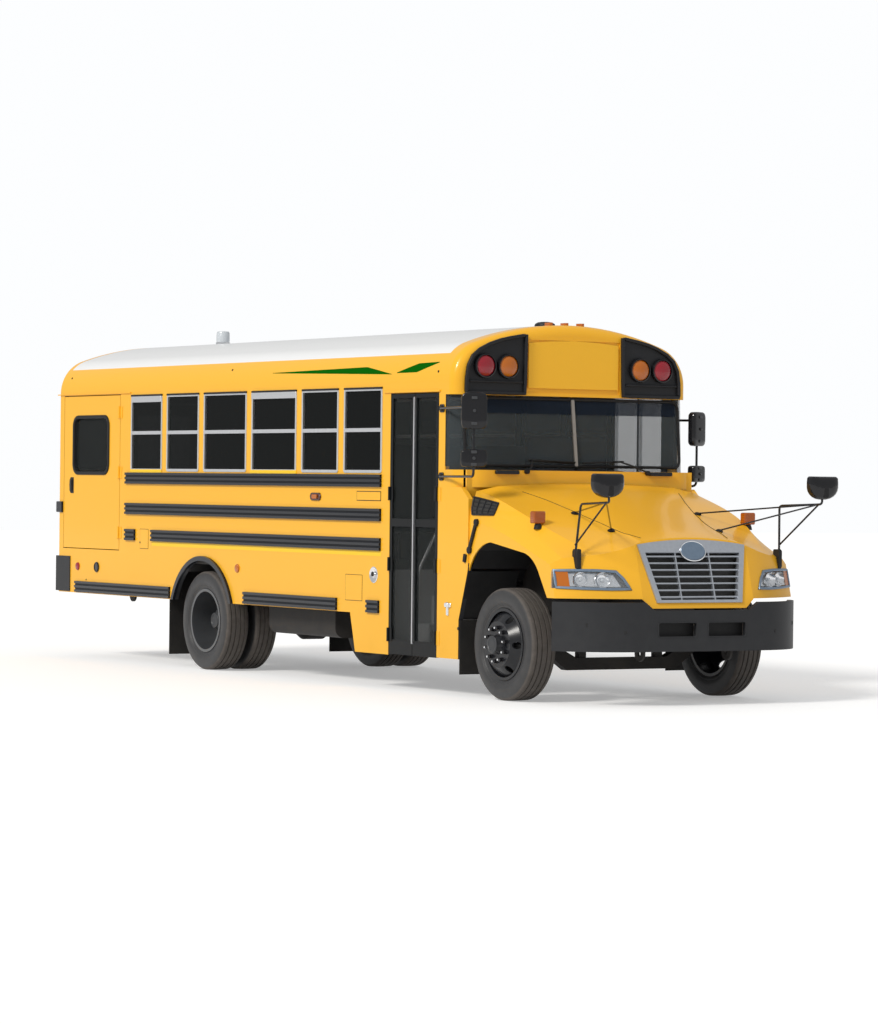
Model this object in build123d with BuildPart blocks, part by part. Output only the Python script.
from build123d import *
import os
from math import atan2, cos, pi, radians, sin, sqrt

os.makedirs("parts", exist_ok=True)

# School bus with a tilting hood, in millimetres. +X is forward, +Y is the bus's left, +Z is up.
# The origin is on the road, under the middle of the overall box.
# A "setback" is a distance behind the front axle, and a "reach" is a distance ahead of it.

# Running gear
front_axle_x = 3615.5
wheelbase = 5417
tyre_radius = 477
tyre_width = 255
rim_radius = 292
front_half_track = 1062
dual_spacing = 312
rear_outer_y = 1073
kingpin_y = 915
rear_axle_x = front_axle_x - wheelbase

# Body shell
body_width = 2438
wall = 45
skirt_z = 660
step_skirt_z = 308
floor_z = 1060
floor_thickness = 40
roof_crown_z = 3231
roof_crown_radius = 2884
roof_corner_radius = 360
roof_joint_z = 2708
rear_overhang = 3283
rear_cap_depth = 130
front_cap_setback = 992
cap_face_setback = 765
cap_bottom_z = 2600
pillar_setback = 1018
body_rear_x = rear_axle_x - rear_overhang
half_width = body_width / 2
shell_rear_x = body_rear_x + rear_cap_depth
shell_front_x = front_axle_x - front_cap_setback
cap_face_x = front_axle_x - cap_face_setback
pillar_x = front_axle_x - pillar_setback

# Entrance door and its step well
door_width = 830
door_head_z = 2621
door_rear_x = pillar_x - door_width
step_slant_top = 687
step_slant_bottom = 589

# Side windows
window_sill_z = 1916
window_head_z = 2676
window_front_setback = 1989
small_window = 690
large_window = 880
rear_small_window = 560
window_pillar = 98
window_corner = 30

# Lift door and rear door
lift_door_rear_setback = 8560
lift_door_front_setback = 7247
lift_door_bottom_z = 1115
lift_door_top_z = 2690
rear_door_width = 930
rear_door_bottom_z = 1062
rear_door_top_z = 2640

# Hood
hood_seam_setback = 515
hood_side_inset = 13
hood_half_width = half_width - hood_side_inset
hood_wall = 12
nose_foot_reach = 1205
nose_foot_z = 815
nose_lean = 0.2916
nose_flat_half = 560
nose_sweep = 343
hood_lower_z = 893
bumper_reach = 1243
hinge_reach = 1190
hinge_z = 842
seam_x = front_axle_x - hood_seam_setback

# Shared clearances
door_gap = 8
seat_gap = 0.3
overrun = 400
hinge_radius = 11
hinge_height = 120
hinge_leaf = 55
hinge_leaf_thickness = 5
hinge_end_gap = 180
hinge_axis_y = -half_width - hinge_radius


def side_plane(y):
    """Upright plane along the bus at this y, whose own axes are X and Z."""
    return Plane.XZ.offset(-y)


def cross_plane(x):
    """Upright plane across the bus at this x, whose own axes are Y and Z."""
    return Plane.YZ.offset(x)


def hinge_half(axis_x, axis_y, along, skin_side, heights, moving):
    """One half of a row of butt hinges: a leaf on the skin, with the barrel on the moving half."""
    flank = sqrt(hinge_radius ** 2 - (hinge_radius - hinge_leaf_thickness) ** 2) + seat_gap
    start = 0 if moving else flank
    for z in heights:
        with BuildSketch(Plane(origin=(axis_x, axis_y, z - hinge_height / 2), x_dir=along)) as outline:
            with Locations(((start + hinge_leaf) / 2, skin_side * (hinge_radius - hinge_leaf_thickness / 2))):
                Rectangle(hinge_leaf - start, hinge_leaf_thickness)
            if moving:
                Circle(hinge_radius)
        extrude(outline.sketch, amount=hinge_height)



# The roof's corner arcs meet the upright walls and the wide crown arc without a break.
crown_centre_z = roof_crown_z - roof_crown_radius
corner_centre_y = half_width - roof_corner_radius
roof_spring_z = crown_centre_z + sqrt((roof_crown_radius - roof_corner_radius) ** 2 - corner_centre_y ** 2)
corner_turn = atan2(roof_spring_z - crown_centre_z, corner_centre_y)


def on_corner(radius, angle):
    """Point on the left roof corner, angle measured up from the +Y direction."""
    return corner_centre_y + radius * cos(angle), roof_spring_z + radius * sin(angle)


def body_section(inset, bottom_z, mode=Mode.ADD):
    """Cross-section of the body, inset from its skin: upright walls, corner arcs and the crown."""
    radius = roof_corner_radius - inset
    low, middle, high = on_corner(radius, 0), on_corner(radius, corner_turn / 2), on_corner(radius, corner_turn)
    with BuildLine() as outline:
        Polyline((-low[0], low[1]), (-low[0], bottom_z), (low[0], bottom_z), low)
        ThreePointArc(low, middle, high)
        ThreePointArc(high, (0, roof_crown_z - inset), (-high[0], high[1]))
        ThreePointArc((-high[0], high[1]), (-middle[0], middle[1]), (-low[0], low[1]))
    make_face(outline.edges(), mode=mode)


# Side window places, front to back: (front edge x, width), the same on both sides
window_widths = [small_window, small_window, large_window, large_window, small_window, small_window]
side_windows = []
next_front_x = front_axle_x - window_front_setback
for width in window_widths:
    side_windows.append((next_front_x, width))
    next_front_x -= width + window_pillar
# The left side carries on where the right side has the lift door
left_windows = list(side_windows)
for width in [small_window, rear_small_window]:
    left_windows.append((next_front_x, width))
    next_front_x -= width + window_pillar
driver_window_front_setback = 1100
driver_window_width = 800
driver_sill_z = 1750
window_height = window_head_z - window_sill_z
window_middle_z = (window_head_z + window_sill_z) / 2

lift_rear_x = front_axle_x - lift_door_rear_setback
lift_front_x = front_axle_x - lift_door_front_setback
lift_middle_x = (lift_rear_x + lift_front_x) / 2
lift_middle_z = (lift_door_bottom_z + lift_door_top_z) / 2
lift_width = lift_front_x - lift_rear_x
lift_height = lift_door_top_z - lift_door_bottom_z
arch_radius = 640
arch_centre_z = 430


def window_holes(places):
    """Cut the window openings out of the wall's sketch."""
    for front_x, width in places:
        with Locations((front_x - width / 2, window_middle_z)):
            RectangleRounded(width, window_height, window_corner, mode=Mode.SUBTRACT)


# Right wall: skirt, stepped down at the entrance, with its openings
step_left_x = door_rear_x - step_slant_top
lift_hinge_heights = (lift_door_bottom_z + hinge_end_gap, lift_middle_z, lift_door_top_z - hinge_end_gap)
entry_hinge_heights = (step_skirt_z + hinge_end_gap, (step_skirt_z + window_sill_z) / 2, window_sill_z - hinge_end_gap)
with BuildPart() as right_wall:
    with BuildSketch(side_plane(-half_width)):
        with BuildLine():
            Polyline((shell_rear_x, skirt_z), (step_left_x, skirt_z), (door_rear_x - step_slant_bottom, step_skirt_z),
                     (door_rear_x, step_skirt_z), (door_rear_x, door_head_z), (pillar_x, door_head_z),
                     (pillar_x, cap_bottom_z), (shell_front_x, cap_bottom_z),
                     (shell_front_x, roof_joint_z), (shell_rear_x, roof_joint_z), close=True)
        make_face()
        window_holes(side_windows)
        with Locations((lift_middle_x, lift_middle_z)):
            Rectangle(lift_width, lift_height, mode=Mode.SUBTRACT)
        with Locations((rear_axle_x, arch_centre_z)):
            Circle(arch_radius, mode=Mode.SUBTRACT)
    extrude(amount=-wall)
    hinge_half(lift_front_x - door_gap, hinge_axis_y, (1, 0, 0), 1, lift_hinge_heights, False)
    hinge_half(door_rear_x + door_gap, hinge_axis_y, (-1, 0, 0), -1, entry_hinge_heights, False)
right_wall.part.label = "right_wall"
export_step(right_wall.part, "parts/right_wall.step")

# Left wall: passenger windows all along and the driver's window at the front
driver_window_x = front_axle_x - driver_window_front_setback - driver_window_width / 2
with BuildPart() as left_wall:
    with BuildSketch(side_plane(half_width)):
        with BuildLine():
            Polyline((shell_rear_x, skirt_z), (pillar_x, skirt_z), (pillar_x, cap_bottom_z),
                     (shell_front_x, cap_bottom_z), (shell_front_x, roof_joint_z),
                     (shell_rear_x, roof_joint_z), close=True)
        make_face()
        window_holes(left_windows)
        with Locations((driver_window_x, (window_head_z + driver_sill_z) / 2)):
            RectangleRounded(driver_window_width, window_head_z - driver_sill_z, window_corner, mode=Mode.SUBTRACT)
        with Locations((rear_axle_x, arch_centre_z)):
            Circle(arch_radius, mode=Mode.SUBTRACT)
    extrude(amount=wall)
left_wall.part.label = "left_wall"
export_step(left_wall.part, "parts/left_wall.step")

# Roof: one arched sheet from the rear cap to the front cap
with BuildPart() as roof:
    with BuildSketch(cross_plane(shell_rear_x)):
        body_section(0, roof_joint_z)
        body_section(wall, roof_joint_z - overrun, mode=Mode.SUBTRACT)
    extrude(amount=shell_front_x - shell_rear_x)
roof.part.label = "roof"
export_step(roof.part, "parts/roof.step")

# Front cap: rounded shell over the windshield, with a recessed sign panel
cap_edge_radius = 95
sign_half_width = 487
sign_bottom_z = 2630
sign_top_z = 3090
sign_recess = 10
cap_floor = 30
with BuildPart() as front_cap:
    with BuildSketch(cross_plane(shell_front_x)):
        body_section(0, cap_bottom_z)
    extrude(amount=cap_face_x - shell_front_x)
    front_edges = front_cap.faces().sort_by(Axis.X)[-1].edges()
    fillet(front_edges.sort_by(Axis.Z)[1:], radius=cap_edge_radius)
    with BuildSketch(cross_plane(shell_front_x - overrun)):
        body_section(wall, cap_bottom_z + cap_floor)
    extrude(amount=cap_face_x - wall - shell_front_x + overrun, mode=Mode.SUBTRACT)
    with BuildSketch(cross_plane(cap_face_x)):
        with Locations((0, (sign_bottom_z + sign_top_z) / 2)):
            Rectangle(2 * sign_half_width, sign_top_z - sign_bottom_z)
    extrude(amount=-sign_recess, mode=Mode.SUBTRACT)
front_cap.part.label = "front_cap"
export_step(front_cap.part, "parts/front_cap.step")

# Rear wall: a shallow pan with rounded edges, the door opening and two fixed windows
rear_edge_radius = 55
rear_window_width = 480
rear_window_height = 640
rear_window_y = 820
rear_window_z = 2230
rear_axis_x = body_rear_x - hinge_radius
rear_axis_y = -rear_door_width / 2 + door_gap
rear_hinge_heights = (rear_door_bottom_z + hinge_end_gap, (rear_door_bottom_z + rear_door_top_z) / 2,
                      rear_door_top_z - hinge_end_gap)
with BuildPart() as rear_wall:
    with BuildSketch(cross_plane(body_rear_x)):
        body_section(0, skirt_z)
    extrude(amount=rear_cap_depth)
    rear_edges = rear_wall.faces().sort_by(Axis.X)[0].edges()
    fillet(rear_edges.sort_by(Axis.Z)[1:], radius=rear_edge_radius)
    with BuildSketch(cross_plane(body_rear_x + wall)):
        body_section(wall, skirt_z - overrun)
    extrude(amount=rear_cap_depth, mode=Mode.SUBTRACT)
    with BuildSketch(cross_plane(body_rear_x - overrun)):
        with Locations((0, (rear_door_bottom_z + rear_door_top_z) / 2)):
            Rectangle(rear_door_width, rear_door_top_z - rear_door_bottom_z)
        with Locations((-rear_window_y, rear_window_z), (rear_window_y, rear_window_z)):
            RectangleRounded(rear_window_width, rear_window_height, window_corner)
    extrude(amount=overrun + rear_cap_depth, mode=Mode.SUBTRACT)
    hinge_half(rear_axis_x, rear_axis_y, (0, -1, 0), 1, rear_hinge_heights, False)
rear_wall.part.label = "rear_wall"
export_step(rear_wall.part, "parts/rear_wall.step")

# Chassis frame: two channel rails and the crossmembers between them
rail_half = 432
rail_flange = 76
rail_metal = 9
rail_bottom_z = 690
rail_top_z = 940
rail_rear_setback = 8560
rail_front_reach = 1060
crossmember_length = 90
crossmember_bottom_z = 810
crossmember_pitch = 880
crossmember_count = 9
crossmember_front_setback = 1330
nose_member_reach = 985
rail_rear_x = front_axle_x - rail_rear_setback
rail_front_x = front_axle_x + rail_front_reach
tow_thickness = 22
tow_length = 130
tow_bottom_z = 380
front_tow_eye_z = 432
rear_tow_eye_z = 620
tow_eye_radius = 22
tow_inset = 20
with BuildPart() as chassis_frame:
    with BuildSketch(cross_plane(rail_rear_x)):
        for side in (-1, 1):
            web, lip = side * rail_half, side * (rail_half - rail_flange)
            inner = side * (rail_half - rail_metal)
            with BuildLine():
                Polyline((web, rail_bottom_z), (web, rail_top_z), (lip, rail_top_z), (lip, rail_top_z - rail_metal),
                         (inner, rail_top_z - rail_metal), (inner, rail_bottom_z + rail_metal),
                         (lip, rail_bottom_z + rail_metal), (lip, rail_bottom_z), close=True)
            make_face()
    extrude(amount=rail_front_x - rail_rear_x)
    member_places = [front_axle_x - crossmember_front_setback - crossmember_pitch * i
                     for i in range(crossmember_count)]
    for x in member_places + [front_axle_x + nose_member_reach]:
        with BuildSketch(cross_plane(x)):
            with Locations((0, (crossmember_bottom_z + rail_top_z - rail_metal) / 2)):
                Rectangle(2 * (rail_half - rail_metal), rail_top_z - rail_metal - crossmember_bottom_z)
        extrude(amount=crossmember_length / 2, both=True)
    for x, tow_eye_z in ((rail_front_x - tow_inset - tow_length / 2, front_tow_eye_z),
                         (rail_rear_x + tow_inset + tow_length / 2, rear_tow_eye_z)):
        for side in (-1, 1):
            with BuildSketch(side_plane(side * rail_half)):
                with BuildLine():
                    Polyline((x - tow_length / 2, rail_top_z - tow_length), (x + tow_length / 2, rail_top_z - tow_length),
                             (x + tow_length / 2, tow_eye_z))
                    ThreePointArc((x + tow_length / 2, tow_eye_z), (x, tow_eye_z - tow_length / 2),
                                  (x - tow_length / 2, tow_eye_z))
                    Line((x - tow_length / 2, tow_eye_z), (x - tow_length / 2, rail_top_z - tow_length))
                make_face()
                with Locations((x, tow_eye_z)):
                    Circle(tow_eye_radius, mode=Mode.SUBTRACT)
            extrude(amount=-side * tow_thickness)
chassis_frame.part.label = "chassis_frame"
export_step(chassis_frame.part, "parts/chassis_frame.step")

# Floor with its cross sills, cut out over the step well
well_depth = 620
beam_depth = floor_z - floor_thickness - rail_top_z
beam_length = 110
beam_pitch = 730
beam_count = 10
beam_front_setback = 2170
cabin_half = half_width - wall
cabin_rear_x = body_rear_x + wall
floor_front_setback = 660
floor_front_x = front_axle_x - floor_front_setback
well_side = 14
with BuildPart() as floor:
    with BuildSketch(Plane.XY.offset(floor_z - floor_thickness)):
        with BuildLine():
            Polyline((cabin_rear_x, -cabin_half), (door_rear_x - well_side, -cabin_half),
                     (door_rear_x - well_side, -cabin_half + well_depth), (pillar_x + well_side, -cabin_half + well_depth),
                     (pillar_x + well_side, -cabin_half), (floor_front_x, -cabin_half),
                     (floor_front_x, cabin_half), (cabin_rear_x, cabin_half), close=True)
        make_face()
    extrude(amount=floor_thickness)
    for i in range(beam_count):
        beam_x = front_axle_x - beam_front_setback - beam_pitch * i
        if beam_x > cabin_rear_x + beam_length:
            with BuildSketch(Plane.XY.offset(rail_top_z)):
                with Locations((beam_x, 0)):
                    Rectangle(beam_length, 2 * cabin_half)
            extrude(amount=beam_depth)
floor.part.label = "floor"
export_step(floor.part, "parts/floor.step")

# Step well: a stair of risers and treads between two side plates, under the entrance door
step_count = 3
step_plate = 14
well_bottom_z = 322
riser = (floor_z - well_bottom_z) / step_count
tread = well_depth / step_count
with BuildPart() as step_well:
    with BuildSketch(cross_plane(door_rear_x)):
        stair = [(-cabin_half, well_bottom_z)]
        for i in range(step_count):
            stair.append((-cabin_half + tread * (i + 1), well_bottom_z + riser * i))
            if i < step_count - 1:
                stair.append((-cabin_half + tread * (i + 1), well_bottom_z + riser * (i + 1)))
        stair.append((-cabin_half + well_depth, floor_z))
        stair.append((-cabin_half + well_depth - step_plate, floor_z))
        for i in reversed(range(step_count)):
            stair.append((-cabin_half + tread * (i + 1) - step_plate, well_bottom_z + riser * i + step_plate))
            if i > 0:
                stair.append((-cabin_half + tread * i - step_plate, well_bottom_z + riser * i + step_plate))
        stair.append((-cabin_half, well_bottom_z + step_plate))
        with BuildLine():
            Polyline(*stair, close=True)
        make_face()
    extrude(amount=door_width)
    for x in (door_rear_x - well_side, pillar_x):
        with BuildSketch(cross_plane(x)):
            with BuildLine():
                Polyline((-cabin_half, well_bottom_z), (-cabin_half + tread, well_bottom_z),
                         (-cabin_half + well_depth, floor_z - riser), (-cabin_half + well_depth, floor_z),
                         (-cabin_half, floor_z), close=True)
            make_face()
        extrude(amount=well_side)
step_well.part.label = "step_well"
export_step(step_well.part, "parts/step_well.step")

# Cowl: firewall, rounded scuttle box, side panels and windshield pillars in one pressing
cowl_top_z = 1950
cowl_box_bottom_z = 1800
cowl_front_setback = 575
cowl_corner_radius = 240
cowl_left_bottom_z = 500
cowl_right_bottom_z = 320
cowl_low_front_setback = 660
cowl_arch_z = 1092
cowl_arch_low_z = 658
cowl_shoulder_z = 1700
cowl_shoulder_setback = 640
pillar_front_setback = 912
firewall_setback = 640
firewall_thickness = 20
firewall_bottom_z = 1000
windshield_top_z = cap_bottom_z - seat_gap
firewall_x = front_axle_x - firewall_setback
cowl_front_x = front_axle_x - cowl_front_setback
with BuildPart() as cowl:
    with BuildSketch(Plane.XY.offset(cowl_box_bottom_z)):
        with BuildLine():
            Polyline((pillar_x, half_width), (cowl_front_x - cowl_corner_radius, half_width))
            ThreePointArc((cowl_front_x - cowl_corner_radius, half_width),
                          (cowl_front_x - cowl_corner_radius * (1 - cos(pi / 4)),
                           half_width - cowl_corner_radius * (1 - cos(pi / 4))),
                          (cowl_front_x, half_width - cowl_corner_radius))
            Line((cowl_front_x, half_width - cowl_corner_radius), (cowl_front_x, -half_width + cowl_corner_radius))
            ThreePointArc((cowl_front_x, -half_width + cowl_corner_radius),
                          (cowl_front_x - cowl_corner_radius * (1 - cos(pi / 4)),
                           -half_width + cowl_corner_radius * (1 - cos(pi / 4))),
                          (cowl_front_x - cowl_corner_radius, -half_width))
            Polyline((cowl_front_x - cowl_corner_radius, -half_width), (pillar_x, -half_width), (pillar_x, half_width))
        make_face()
    extrude(amount=cowl_top_z - cowl_box_bottom_z)
    with BuildSketch(Plane.XY.offset(cowl_box_bottom_z - overrun)):
        with Locations(((pillar_x + firewall_x) / 2 - overrun / 2, 0)):
            Rectangle(firewall_x - pillar_x + overrun, 2 * cabin_half)
    extrude(amount=cowl_top_z - cowl_box_bottom_z + 2 * overrun, mode=Mode.SUBTRACT)
    for side, bottom_z in ((-1, cowl_right_bottom_z), (1, cowl_left_bottom_z)):
        with BuildSketch(side_plane(side * half_width)):
            with BuildLine():
                Polyline((pillar_x, bottom_z), (front_axle_x - cowl_low_front_setback, bottom_z),
                         (front_axle_x - cowl_low_front_setback, cowl_arch_low_z),
                         (seam_x, cowl_arch_z), (seam_x, cowl_shoulder_z),
                         (front_axle_x - cowl_shoulder_setback, cowl_box_bottom_z),
                         (front_axle_x - pillar_front_setback, cowl_box_bottom_z),
                         (front_axle_x - pillar_front_setback, cap_bottom_z),
                         (pillar_x, cap_bottom_z), close=True)
            make_face()
        extrude(amount=side * wall)
    with BuildSketch(cross_plane(firewall_x)):
        with Locations((0, (firewall_bottom_z + cowl_top_z) / 2)):
            Rectangle(2 * cabin_half, cowl_top_z - firewall_bottom_z)
    extrude(amount=firewall_thickness)
    hinge_half(pillar_x - door_gap, hinge_axis_y, (1, 0, 0), 1, entry_hinge_heights, False)
cowl.part.label = "cowl"
export_step(cowl.part, "parts/cowl.step")

# Windshield: two panes, flat in the middle and curved round the corners, leaning back
glass_thickness = 8
windshield_foot_setback = 707
windshield_head_setback = 790
windshield_corner_foot = 190
windshield_corner_head = 110
windshield_side_inset = 10
windshield_bar_half = 14
pillar_front_x = front_axle_x - pillar_front_setback + seat_gap


def pane_outline(front_x, corner, side, mode=Mode.ADD):
    """Plan of one windshield pane: flat from the bar, then a quarter turn back to the pillar."""
    edge_y = half_width - windshield_side_inset
    inner = corner - glass_thickness
    turn = cos(pi / 4)
    corner_x, corner_y = front_x - corner, edge_y - corner
    with BuildLine() as outline:
        Line((front_x, side * windshield_bar_half), (front_x, side * corner_y))
        ThreePointArc((front_x, side * corner_y), (corner_x + corner * turn, side * (corner_y + corner * turn)),
                      (corner_x, side * edge_y))
        Polyline((corner_x, side * edge_y), (pillar_front_x, side * edge_y),
                 (pillar_front_x, side * (edge_y - glass_thickness)), (corner_x, side * (edge_y - glass_thickness)))
        ThreePointArc((corner_x, side * (edge_y - glass_thickness)),
                      (corner_x + inner * turn, side * (corner_y + inner * turn)),
                      (front_x - glass_thickness, side * corner_y))
        Polyline((front_x - glass_thickness, side * corner_y), (front_x - glass_thickness, side * windshield_bar_half),
                 (front_x, side * windshield_bar_half))
    make_face(outline.edges(), mode=mode)


# Window frames: one aluminium ring with a middle rail in each side opening
frame_band = 26
frame_depth = 38
mid_rail_z = 2300
mid_rail_height = 34
frame_outset = 6
pane_thickness = 5


def ring(x, z, width, height, band):
    """Rectangular ring with rounded outer corners, on the sketch in use."""
    with Locations((x, z)):
        RectangleRounded(width, height, window_corner)
        Rectangle(width - 2 * band, height - 2 * band, mode=Mode.SUBTRACT)


window_sides = ((-1, side_windows), (1, left_windows))
with BuildPart() as window_frames:
    for side, places in window_sides:
        with BuildSketch(side_plane(side * (half_width + frame_outset))):
            for front_x, width in places:
                ring(front_x - width / 2, window_middle_z, width, window_height, frame_band)
                with Locations((front_x - width / 2, mid_rail_z)):
                    Rectangle(width - 2 * frame_band, mid_rail_height)
        extrude(amount=side * frame_depth)
    with BuildSketch(side_plane(half_width + frame_outset)):
        ring(driver_window_x, (window_head_z + driver_sill_z) / 2, driver_window_width,
             window_head_z - driver_sill_z, frame_band)
        with Locations((driver_window_x, (window_head_z + driver_sill_z) / 2)):
            Rectangle(mid_rail_height, window_head_z - driver_sill_z - 2 * frame_band)
    extrude(amount=frame_depth)
    with BuildSketch(cross_plane(body_rear_x - frame_outset)):
        for y in (-rear_window_y, rear_window_y):
            ring(y, rear_window_z, rear_window_width, rear_window_height, frame_band)
    extrude(amount=frame_depth)
window_frames.part.label = "window_frames"
export_step(window_frames.part, "parts/window_frames.step")

# Cabin glass: the windshield, two panes in each side window, the driver's window and the rear ones
upper_height = window_head_z - frame_band - mid_rail_z - mid_rail_height / 2
lower_height = mid_rail_z - mid_rail_height / 2 - window_sill_z - frame_band
upper_z = window_head_z - frame_band - upper_height / 2
lower_z = window_sill_z + frame_band + lower_height / 2
pane_inset = frame_depth / 2 - frame_outset
driver_pane = (driver_window_width - 2 * frame_band - mid_rail_height) / 2
with BuildPart() as cabin_glass:
    for side in (-1, 1):
        with BuildSketch(Plane.XY.offset(cowl_top_z + seat_gap)):
            pane_outline(front_axle_x - windshield_foot_setback, windshield_corner_foot, side)
        with BuildSketch(Plane.XY.offset(windshield_top_z)):
            pane_outline(front_axle_x - windshield_head_setback, windshield_corner_head, side)
        loft(ruled=True)
    for side, places in window_sides:
        with BuildSketch(side_plane(side * (half_width - pane_inset))):
            for front_x, width in places:
                for z, height in ((upper_z, upper_height), (lower_z, lower_height)):
                    with Locations((front_x - width / 2, z)):
                        Rectangle(width - 2 * frame_band, height)
        extrude(amount=side * pane_thickness)
    with BuildSketch(side_plane(half_width - pane_inset)):
        for end in (-1, 1):
            with Locations((driver_window_x + end * (driver_pane + mid_rail_height) / 2,
                            (window_head_z + driver_sill_z) / 2)):
                Rectangle(driver_pane, window_head_z - driver_sill_z - 2 * frame_band)
    extrude(amount=pane_thickness)
    with BuildSketch(cross_plane(body_rear_x + pane_inset)):
        with Locations((-rear_window_y, rear_window_z), (rear_window_y, rear_window_z)):
            Rectangle(rear_window_width - 2 * frame_band, rear_window_height - 2 * frame_band)
    extrude(amount=pane_thickness)
cabin_glass.part.label = "cabin_glass"
export_step(cabin_glass.part, "parts/cabin_glass.step")

# Bumpers: a deep moulded one in front, a wrapped plate behind
bumper_bottom_z = 458
bumper_top_z = 866
bumper_notch_z = 800
bumper_notch_top_half = 574
bumper_notch_foot_half = 482
bumper_end_reach = 817
bumper_end_half = half_width
bumper_flat_half = 520
bumper_shoulder_reach = 1120
bumper_shoulder_half = 990
bumper_wall = 42
bumper_slot_width = 385
bumper_slot_height = 120
bumper_slot_y = 250
bumper_slot_z = 640
bumper_edge = 18


def bumper_curve(inset):
    """Points of the bumper's plan line, from the middle of the bow to one end."""
    return [(front_axle_x + bumper_reach - inset, 0),
            (front_axle_x + bumper_shoulder_reach - inset, bumper_shoulder_half - inset / 2),
            (front_axle_x + bumper_end_reach, bumper_end_half - inset)]


with BuildPart() as front_bumper:
    with BuildSketch(Plane.XY.offset(bumper_bottom_z)):
        with BuildLine():
            for inset in (0, bumper_wall):
                bow = bumper_curve(inset)
                flat = (bow[0][0], bumper_flat_half)
                Line((flat[0], -flat[1]), flat)
                ThreePointArc(flat, bow[1], bow[2])
                ThreePointArc((flat[0], -flat[1]), (bow[1][0], -bow[1][1]), (bow[2][0], -bow[2][1]))
            for side in (-1, 1):
                Line((front_axle_x + bumper_end_reach, side * bumper_end_half),
                     (front_axle_x + bumper_end_reach, side * (bumper_end_half - bumper_wall)))
        make_face()
    extrude(amount=bumper_top_z - bumper_bottom_z)
    with BuildSketch(cross_plane(front_axle_x)):
        with BuildLine():
            Polyline((-bumper_notch_top_half, bumper_top_z), (-bumper_notch_foot_half, bumper_notch_z),
                     (bumper_notch_foot_half, bumper_notch_z), (bumper_notch_top_half, bumper_top_z),
                     (bumper_notch_top_half, bumper_top_z + overrun),
                     (-bumper_notch_top_half, bumper_top_z + overrun), close=True)
        make_face()
        with Locations((-bumper_slot_y, bumper_slot_z), (bumper_slot_y, bumper_slot_z)):
            RectangleRounded(bumper_slot_width, bumper_slot_height, bumper_edge)
    extrude(amount=bumper_reach + overrun, mode=Mode.SUBTRACT)
    # Two brackets carry it on the frame's ends
    for side in (-1, 1):
        with BuildSketch(cross_plane(rail_front_x)):
            with Locations((side * (rail_half - rail_flange / 2), (rail_bottom_z + bumper_notch_z) / 2)):
                Rectangle(rail_flange, bumper_notch_z - rail_bottom_z - bumper_edge)
        extrude(amount=front_axle_x + bumper_reach - bumper_wall - rail_front_x)
front_bumper.part.label = "front_bumper"
export_step(front_bumper.part, "parts/front_bumper.step")

rear_bumper_bottom_z = 671
rear_bumper_top_z = 1034
rear_bumper_plate = 10
rear_bumper_return = 330
rear_bumper_corner = 70
rear_bumper_gap = 0.3
bumper_bracket_width = 70
with BuildPart() as rear_bumper:
    with BuildSketch(Plane.XY.offset(rear_bumper_bottom_z)):
        outer_x = body_rear_x - rear_bumper_gap - rear_bumper_plate
        outer_y = half_width + rear_bumper_gap + rear_bumper_plate
        with Locations((outer_x + rear_bumper_return, 0)):
            Rectangle(2 * rear_bumper_return, 2 * outer_y)
        with Locations((outer_x + rear_bumper_return + rear_bumper_plate, 0)):
            Rectangle(2 * rear_bumper_return, 2 * (outer_y - rear_bumper_plate), mode=Mode.SUBTRACT)
        with Locations((outer_x + 2 * rear_bumper_return, 0)):
            Rectangle(2 * rear_bumper_return, 2 * outer_y, mode=Mode.SUBTRACT)
    extrude(amount=rear_bumper_top_z - rear_bumper_bottom_z)
rear_bumper.part.label = "rear_bumper"
export_step(rear_bumper.part, "parts/rear_bumper.step")

# Rub rails: a flat bar with three ribs, cut to length along each side
rub_height = 112
rub_base = 10
rub_rib = 12
rub_rib_height = 24
rub_rib_count = 3
rub_front_setback = 1995
rub_rear_setback = 7100
rub_short_setback = 6882
rub_lower_start_setback = 6515
rub_skirt_front_setback = 2770
rub_skirt_end_setback = 4560
rub_skirt_rear_start_setback = 6102
rub_skirt_rear_setback = 8245
rub_tab_front_setback = 2010
rub_tab_rear_setback = 2225
rub_left_front_setback = 1060
rub_left_rear_setback = 8560
rub_tops_z = (1903, 1598, 1336, 781)
sill_rub_z, waist_rub_z, seat_rub_z, skirt_rub_z = rub_tops_z
# Columns: side, top z, rear setback, front setback
rub_runs = [(-1, sill_rub_z, rub_rear_setback, rub_front_setback),
            (-1, waist_rub_z, rub_rear_setback, rub_front_setback),
            (-1, seat_rub_z, rub_lower_start_setback, rub_front_setback),
            (-1, seat_rub_z, rub_rear_setback, rub_short_setback),
            (-1, skirt_rub_z, rub_skirt_rear_setback, rub_skirt_rear_start_setback),
            (-1, skirt_rub_z, rub_skirt_end_setback, rub_skirt_front_setback),
            (-1, skirt_rub_z, rub_tab_rear_setback, rub_tab_front_setback),
            (1, waist_rub_z, rub_left_rear_setback, rub_left_front_setback),
            (1, seat_rub_z, rub_left_rear_setback, rub_left_front_setback),
            (1, skirt_rub_z, rub_skirt_rear_setback, rub_skirt_rear_start_setback),
            (1, skirt_rub_z, rub_skirt_end_setback, rub_left_front_setback),
            (1, sill_rub_z, rub_left_rear_setback, rub_front_setback)]
rub_valley = (rub_height - rub_rib_count * rub_rib_height) / (rub_rib_count - 1)
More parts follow.
